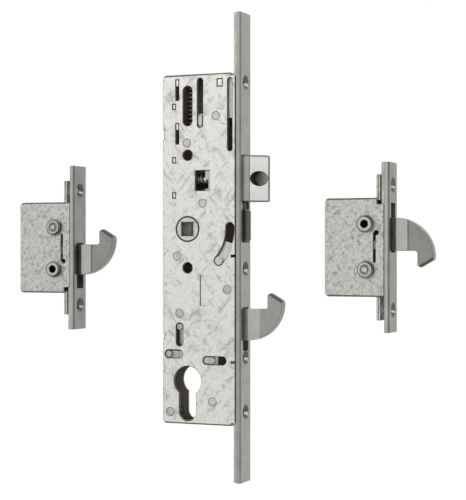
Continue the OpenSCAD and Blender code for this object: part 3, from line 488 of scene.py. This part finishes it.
def soften(node, finish, edge, edge_mm):
    """A copy of a CAD node with rounded edges in their own finish, which stands for the node."""
    piece = bpy.data.objects.new(node + "_finished", frame["nodes"][node].data.copy())
    bpy.context.scene.collection.objects.link(piece)
    piece.data.materials.clear()
    piece.data.materials.append(finish)
    piece.data.materials.append(edge)
    pick(piece)
    bpy.ops.mesh.customdata_custom_splitnormals_clear()
    bpy.ops.object.mode_set(mode="EDIT")
    bpy.ops.mesh.select_all(action="SELECT")
    bpy.ops.mesh.remove_doubles(threshold=MERGE)
    bpy.ops.mesh.dissolve_limited(angle_limit=FLAT)
    for axis, place in CUTS.get(node, ()):
        normal = [float(i == axis) for i in (X, Y, Z)]
        bpy.ops.mesh.select_all(action="SELECT")
        bpy.ops.mesh.bisect(plane_co=[place * n for n in normal], plane_no=normal)
    bpy.ops.mesh.select_mode(type="EDGE")
    bpy.ops.mesh.select_all(action="DESELECT")
    bpy.ops.object.mode_set(mode="OBJECT")
    if node.endswith("_hook"):
        lengthen_root(piece, PLATE_FRONT[node.removesuffix("_hook")])
        chamfer_beak(piece)
    if node == "latch_bolt":
        round_latch(piece)
    if node in ("upper_axle", "lower_axle"):
        turn_groove(piece)
    if node in RIMMED:
        near = SHEET_PLANE if node.endswith("_cover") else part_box(node)[0].y
        round_rim(piece, near, edge_mm * MM)
    else:
        bpy.ops.object.modifier_add(type="BEVEL")
        rounding = piece.modifiers[-1]
        rounding.width = edge_mm * MM
        rounding.segments = ROUND_STEPS
        rounding.limit_method = "ANGLE"
        rounding.angle_limit = SHARP
        rounding.use_clamp_overlap = node in CLAMPED
        rounding.loop_slide = False
        rounding.material = 1
        bpy.ops.object.modifier_apply(modifier=rounding.name)
    bpy.ops.object.shade_smooth_by_angle(angle=SHARP)
    bpy.ops.object.modifier_add(type="WEIGHTED_NORMAL")
    levelling = piece.modifiers[-1]
    levelling.weight = NORMAL_WEIGHT
    levelling.keep_sharp = True
    bpy.ops.object.modifier_apply(modifier=levelling.name)
    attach(piece, BODY_OF[node])
    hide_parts(node)
    return piece


# Each node's finish, the finish of its rounded edges, which is mostly darker as painted shade, and how wide
# these are in mm
FINISHES = {
    "main_case_tray": (GEARBOX_SHEET, BLANKED_EDGE_AND_SHADE, 0.35),
    "main_case_cover": (GEARBOX_SHEET, BLANKED_EDGE_AND_SHADE, 0.38),
    "guide_tabs": (NICKEL, BLANKED_EDGE_AND_SHADE, 0.4),
    "case_rivets": (RIVET, RIVET_RING, 0.4),
    "main_hook_axle": (RIVET, RIVET_RING, 0.4),
    "main_faceplate": (PLATE, BLANKED_EDGE_AND_SHADE, 0.2),
    "follower": (CAST, BLANKED_EDGE_AND_SHADE, 0.4),
    "upper_drive": (SLIDE, BLANKED_EDGE_AND_SHADE, 0.25),
    "lower_drive": (SLIDE, BLANKED_EDGE_AND_SHADE, 0.25),
    "deadlock_slide": (SLIDE, BLANKED_EDGE_AND_SHADE, 0.25),
    "latch_bolt": (NICKEL, LATCH_EDGE_PAINTED_SHADE, 0.8),
    "latch_screw": (SCREW, SCREW, 0.2),
    "trigger": (NYLON, NYLON, 0.5),
    "main_hook": (HOOK, HOOK_RIM_AND_SHADE, 0.45),
}
for side in HOOK_UNITS:
    FINISHES[side + "_faceplate"] = (UNIT_PLATE, BLANKED_EDGE_AND_SHADE, 0.2)
    FINISHES[side + "_case_tray"] = (UNIT_SHEET, BLANKED_EDGE_AND_SHADE, 0.4)
    FINISHES[side + "_case_cover"] = (UNIT_SHEET, BLANKED_EDGE_AND_SHADE, 0.25)
    FINISHES[side + "_axle"] = (RIVET, BOSS_RING_SHADE, 0.35)
    FINISHES[side + "_bush"] = (RIVET, BOSS_RING_SHADE, 0.35)
    FINISHES[side + "_hook"] = (UNIT_HOOK, HOOK_RIM_AND_SHADE, 0.45)
    FINISHES[side + "_slide"] = (SLIDE, BLANKED_EDGE_AND_SHADE, 0.25)
dressed = {node: soften(node, *look) for node, look in FINISHES.items()}


# Faces with a finish of their own, or with painted light and shade

# A finished piece's plain faces and its rounded edges, by material slot
PLAIN = 0
ROUNDED = 1

# Depths and reaches that tell one kind of face from another
SHEET_DEPTH = 1.2 * MM
PLATE_EDGE = 1 * MM
ROOT_FACE = 3.3 * MM
STEP_FACE = 3 * MM
STEP_REACH = ROOT_END + 2 * ROOT_SLOPE
BORE_REACH = 4.1 * MM
RIVET_REACH = 3.2 * MM
LATCH_BORE_WALL = 1 * MM
# The flank of a countersink that catches the light leans up by at least this much
LIT_FROM = 0.1


def paint(node, finish, test, of=PLAIN):
    """Gives those plain or rounded faces of a finished piece that pass a test another finish."""
    mesh = dressed[node].data
    mesh.materials.append(finish)
    for face in mesh.polygons:
        if face.material_index == of and test(face.center, face.normal):
            face.material_index = len(mesh.materials) - 1


def shade_inside(unit):
    """Paints the inner faces of a case dark brown as painted shade."""
    low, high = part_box(unit + "_case_cover")
    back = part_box(unit + "_case_tray")[1].y

    def clear_of_walls(at):
        return min(at.x - low.x, at.z - low.z, high.z - at.z) > SHEET_DEPTH

    def inside_tray(at):
        return high.y + MERGE < at.y < back - SHEET_DEPTH

    paint(unit + "_case_cover", INSIDE_PAINTED_SHADE, lambda at, way: at.y - low.y > SHEET_DEPTH and clear_of_walls(at))
    paint(unit + "_case_tray", INSIDE_PAINTED_SHADE, lambda at, way: inside_tray(at) and clear_of_walls(at))


def colour_plate(node):
    """Gives a faceplate its sides, with a painted highlight on a hook unit's plate, the drawn line of its
    chamfers, and the painted highlight and shade of its countersinks.
    """
    low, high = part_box(node)

    def by_edge(at):
        return min(at.y - low.y, high.y - at.y) < PLATE_EDGE

    def countersunk(way):
        return SLANT < way.x < SQUARE

    def lit(way):
        return way.y < -SLANT and LIT_FROM < way.z < SLANT

    side_tone = PLATE_SIDE if node == "main_faceplate" else UNIT_SIDE_PAINTED_HIGHLIGHT
    paint(node, side_tone, lambda at, way: by_edge(at) and abs(way.y) > SQUARE)
    paint(node, PLATE_LINE, lambda at, way: by_edge(at) and way.x > SLANT and abs(way.y) > SLANT)
    # Countersinks: a painted highlight on the flank that leans up, painted shade on the rest
    paint(node, COUNTERSINK_PAINTED_HIGHLIGHT, lambda at, way: countersunk(way) and lit(way))
    paint(node, COUNTERSINK_PAINTED_SHADE, lambda at, way: countersunk(way))


def colour_hook(node, up, front):
    """Paints shade on a hook's neck at the plate and on the step of a unit hook's root, darkens the top of
    its beak, and lightens its thicker root.
    """
    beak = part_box(node)[1].x - BEAK_LENGTH
    neck = MAIN_NECK_PAINTED_SHADE if node == "main_hook" else HOOK_NECK_PAINTED_SHADE

    def on_step(at):
        return abs(at.y) > STEP_FACE and NECK < at.x - front < STEP_REACH

    def on_step_slope(at, way):
        return way.x > SLANT and abs(way.y) > SLANT and at.x < front + STEP_REACH

    paint(node, neck, lambda at, way: abs(way.y) > SQUARE and at.x < front + NECK)
    paint(node, HOOK_ROOT, lambda at, way: abs(way.y) > SQUARE and abs(at.y) > ROOT_FACE)
    if node == "main_hook":
        paint(node, HOOK_ROOT, lambda at, way: on_step(at), ROUNDED)
    else:
        # The slope of a unit hook's step takes the dark rim colour as painted shade
        paint(node, HOOK_RIM_AND_SHADE, on_step_slope)
    paint(node, BEAK_TOP_DARK, lambda at, way: way.z * up > SLANT and at.x > beak)


def colour_boss(node, up):
    """Paints a highlight on a boss's rounded edge away from the plate, and shade on its edges and sides
    towards it and behind the hook.
    """
    paint(node, BOSS_PAINTED_HIGHLIGHT, lambda at, way: way.x < -SLANT, ROUNDED)
    paint(node, BOSS_PAINTED_SHADE, lambda at, way: way.x - way.z * up > SLANT, ROUNDED)
    paint(node, BOSS_PAINTED_SHADE, lambda at, way: way.x - way.z * up > SLANT)


for unit, up in UP.items():
    shade_inside(unit)
    colour_plate(unit + "_faceplate")
    colour_hook(unit + "_hook", up, PLATE_FRONT[unit])
for unit in HOOK_UNITS:
    for boss in ("_axle", "_bush"):
        colour_boss(unit + boss, UP[unit])
# Painted shade: a strip along each cover's top and bottom edge, and a line in the fold of each tray's feet
for node, cuts in CUTS.items():
    if node.endswith("_cover"):
        paint(node, BEND_PAINTED_SHADE, lambda at, way: way.y < -SQUARE and not cuts[0][1] < at.z < cuts[1][1])
    if node.endswith("_tray"):
        paint(node, FOLD_PAINTED_SHADE, lambda at, way: cuts[0][1] < at.x < cuts[1][1] and way.y < -SQUARE)


rivet_places = [face.center.copy() for node in ("case_rivets", "main_hook_axle")
                for face in dressed[node].data.polygons if face.normal.y < -SQUARE]
screw_low, screw_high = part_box("latch_screw")
screw_at = (screw_low + screw_high) / 2
latch_bore_reach = (screw_high.x - screw_low.x) / 2 + LATCH_BORE_WALL


def by_rivet(at, way):
    """Whether a face lies on the rim of a rivet's hole."""
    return any(math.hypot(at.x - place.x, at.z - place.z) < RIVET_REACH for place in rivet_places)


def in_bore(at, way):
    """Whether a face is a wall of the follower's square bore."""
    return max(abs(at.x), abs(at.z)) < BORE_REACH and abs(way.y) < SLANT


def in_latch_bore(at, way):
    """Whether a face is a wall of the bore that the latch's screw sits in."""
    return math.hypot(at.x - screw_at.x, at.z - screw_at.z) < latch_bore_reach and abs(way.y) < SLANT


paint("main_case_cover", RIVET_RING, by_rivet, ROUNDED)
# The deep end of the spindle's bore is painted black as painted shade
paint("follower", BORE_PAINTED_SHADE, lambda at, way: in_bore(at, way) and at.y > BORE_SHADE)
paint("follower", BORE, in_bore)
# The walls of the screw's bore are painted dark as painted shade
paint("latch_bolt", LATCH_BORE_PAINTED_SHADE, in_latch_bore)
paint("latch_bolt", PLATE, lambda at, way: way.y < -SQUARE and at.x > PLATE_FRONT["main"])
# Painted shade on the trigger's near side and on the part inside the plate
paint("trigger", NYLON_PAINTED_SHADE, lambda at, way: way.y < -SLANT or at.x < PLATE_FRONT["main"])


# Springs

# The springs' wire
SPRING_WIRE = 0.9 * MM
WIRE_SIDES = 10
TURN_STEPS = 24
WIRE_SMOOTH = math.radians(50)


def coil_spring(node, axis, turns):
    """A coil spring in a CAD spring's place."""
    low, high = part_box(node)
    length = high[axis] - low[axis]
    across = (axis + 1) % 3
    radius = (high[across] - low[across] - SPRING_WIRE) / 2
    bpy.ops.object.select_all(action="DESELECT")
    bpy.ops.mesh.primitive_circle_add(vertices=WIRE_SIDES, radius=SPRING_WIRE / 2, location=(radius, 0, 0),
                                      rotation=(math.pi / 2, 0, 0))
    piece = bpy.context.object
    piece.name = node + "_wire"
    bpy.ops.object.transform_apply(location=True, rotation=True, scale=True)
    bpy.ops.object.modifier_add(type="SCREW")
    winding = piece.modifiers[-1]
    winding.axis = "Z"
    winding.screw_offset = (length - SPRING_WIRE) / turns
    winding.iterations = turns
    winding.steps = TURN_STEPS
    winding.render_steps = TURN_STEPS
    winding.use_merge_vertices = False
    bpy.ops.object.modifier_apply(modifier=winding.name)
    bpy.ops.object.mode_set(mode="EDIT")
    bpy.ops.mesh.select_all(action="DESELECT")
    bpy.ops.mesh.select_non_manifold(extend=False)
    bpy.ops.mesh.edge_face_add()
    bpy.ops.mesh.select_all(action="SELECT")
    bpy.ops.mesh.normals_make_consistent(inside=False)
    bpy.ops.object.mode_set(mode="OBJECT")
    start = (low + high) / 2
    start[axis] = low[axis] + SPRING_WIRE / 2
    piece.rotation_euler = (0, math.pi / 2, 0) if axis == X else (0, 0, 0)
    piece.location = start
    bpy.ops.object.transform_apply(location=True, rotation=True, scale=True)
    bpy.ops.object.shade_smooth_by_angle(angle=WIRE_SMOOTH)
    piece.data.materials.append(WIRE)
    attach(piece, "case")
    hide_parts(node)
    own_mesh(piece)


coil_spring("latch_spring", X, 11)
coil_spring("handle_spring", Z, 12)
coil_spring("trigger_spring", X, 4)


# Studio

FLOOR_COLOUR = "#f4f4f2"
FLOOR_HALF = 3.0
FLOOR_ROUGHNESS = 0.9
FLOOR_GLOW = 1.06
FLOOR_GLOW_SHARE = 0.9
SKY_COLOUR = (1, 1, 1, 1)
SKY_FILL = 0.5
SKY_SEEN = 1.0
# Soft boxes: place in metres, width in metres and power in watts, all aimed at one point
LAMP_TARGET = Vector((0.02, 0, -0.01))
SOFT_BOXES = {
    "key_box": (Vector((-0.7, -1.3, 0.9)), 0.8, 5),
    "fill_box": (Vector((0.9, -1.2, 0.3)), 0.9, 1),
    "rim_box": (Vector((0.3, 1.3, 0.9)), 0.8, 2),
}


def seen_rays(tree):
    """1 for rays that show the background: from the camera, off metal and through glass."""
    rays = add(tree, "ShaderNodeLightPath")
    direct = add(tree, "ShaderNodeMath", {0: rays.outputs["Is Camera Ray"], 1: rays.outputs["Is Glossy Ray"]},
                 operation="MAXIMUM")
    return add(tree, "ShaderNodeMath", {0: direct.outputs[0], 1: rays.outputs["Is Transmission Ray"]},
               operation="MAXIMUM").outputs[0]


bpy.ops.object.select_all(action="DESELECT")
bpy.ops.mesh.primitive_plane_add(size=2 * FLOOR_HALF, location=(0, 0, cad_box[0][2]))
floor = bpy.context.object
floor.name = "studio_floor"
floor_material, floor_tree, floor_shader = blank("studio_floor_paint")
floor_shader.inputs["Base Color"].default_value = linear(FLOOR_COLOUR)
floor_shader.inputs["Roughness"].default_value = FLOOR_ROUGHNESS
floor_glow = add(floor_tree, "ShaderNodeEmission", {"Strength": FLOOR_GLOW})
floor_share = add(floor_tree, "ShaderNodeMath", {0: seen_rays(floor_tree), 1: FLOOR_GLOW_SHARE},
                  operation="MULTIPLY")
floor_mix = add(floor_tree, "ShaderNodeMixShader", {0: floor_share.outputs[0], 1: floor_shader.outputs[0],
                                                    2: floor_glow.outputs[0]})
floor_tree.links.new(floor_mix.outputs[0], floor_tree.nodes["Material Output"].inputs[0])
floor.data.materials.append(floor_material)

world = bpy.data.worlds.new("studio")
bpy.context.scene.world = world
world.use_nodes = True
world_tree = world.node_tree
strength = add(world_tree, "ShaderNodeMapRange", {"Value": seen_rays(world_tree), "To Min": SKY_FILL,
                                                  "To Max": SKY_SEEN})
background = world_tree.nodes["Background"]
background.inputs["Color"].default_value = SKY_COLOUR
world_tree.links.new(strength.outputs[0], background.inputs["Strength"])

for name, (place, width, watts) in SOFT_BOXES.items():
    light = bpy.data.lights.new(name, "AREA")
    light.energy = watts
    light.size = width
    lamp = bpy.data.objects.new(name, light)
    bpy.context.scene.collection.objects.link(lamp)
    lamp.location = place
    lamp.rotation_euler = (LAMP_TARGET - place).to_track_quat("-Z", "Y").to_euler()

right = Vector((math.cos(VIEW_TURN), math.sin(VIEW_TURN), 0))
toward = Vector((math.sin(VIEW_TURN), -math.cos(VIEW_TURN), 0))
camera_data = bpy.data.cameras.new("photo_camera")
camera_data.sensor_fit = "VERTICAL"
camera_data.sensor_height = SENSOR
camera_data.lens = SENSOR * FOCAL_PIXELS / IMAGE_HEIGHT
camera = bpy.data.objects.new("photo_camera", camera_data)
bpy.context.scene.collection.objects.link(camera)
camera.location = right * VIEW_ALONG + Vector((0, 0, VIEW_HEIGHT)) + toward * VIEW_DISTANCE
camera.rotation_euler = (-toward).to_track_quat("-Z", "Y").to_euler()
bpy.context.scene.camera = camera
bpy.context.scene.view_settings.view_transform = "Standard"
